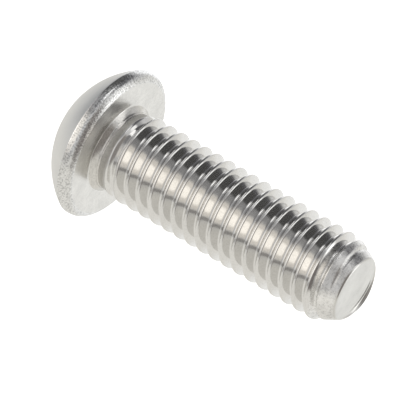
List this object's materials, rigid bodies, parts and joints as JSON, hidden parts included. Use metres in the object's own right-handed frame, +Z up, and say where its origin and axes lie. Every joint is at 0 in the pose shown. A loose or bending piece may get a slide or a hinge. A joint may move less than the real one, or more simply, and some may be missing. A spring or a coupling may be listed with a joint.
{
  "type": "button head screw",
  "caption": "Button head machine screw with a domed head, a hexagon socket and a full-length coarse thread with a chamfered point.",
  "frame": {"origin": "on the ground at the middle of the bounding box: the screw lies on its rim and its last full crest", "axes": "+Z up; the screw's axis lies in the XZ plane and points along +X and 7.2 degrees down, with the point at +X"},
  "size_m": [0.0298, 0.0138, 0.0138],
  "materials": {
    "stainless_steel": "bright, tumbled"
  },
  "bodies": {
    "root": {"screw": "stainless_steel"}
  },
  "joints": []
}
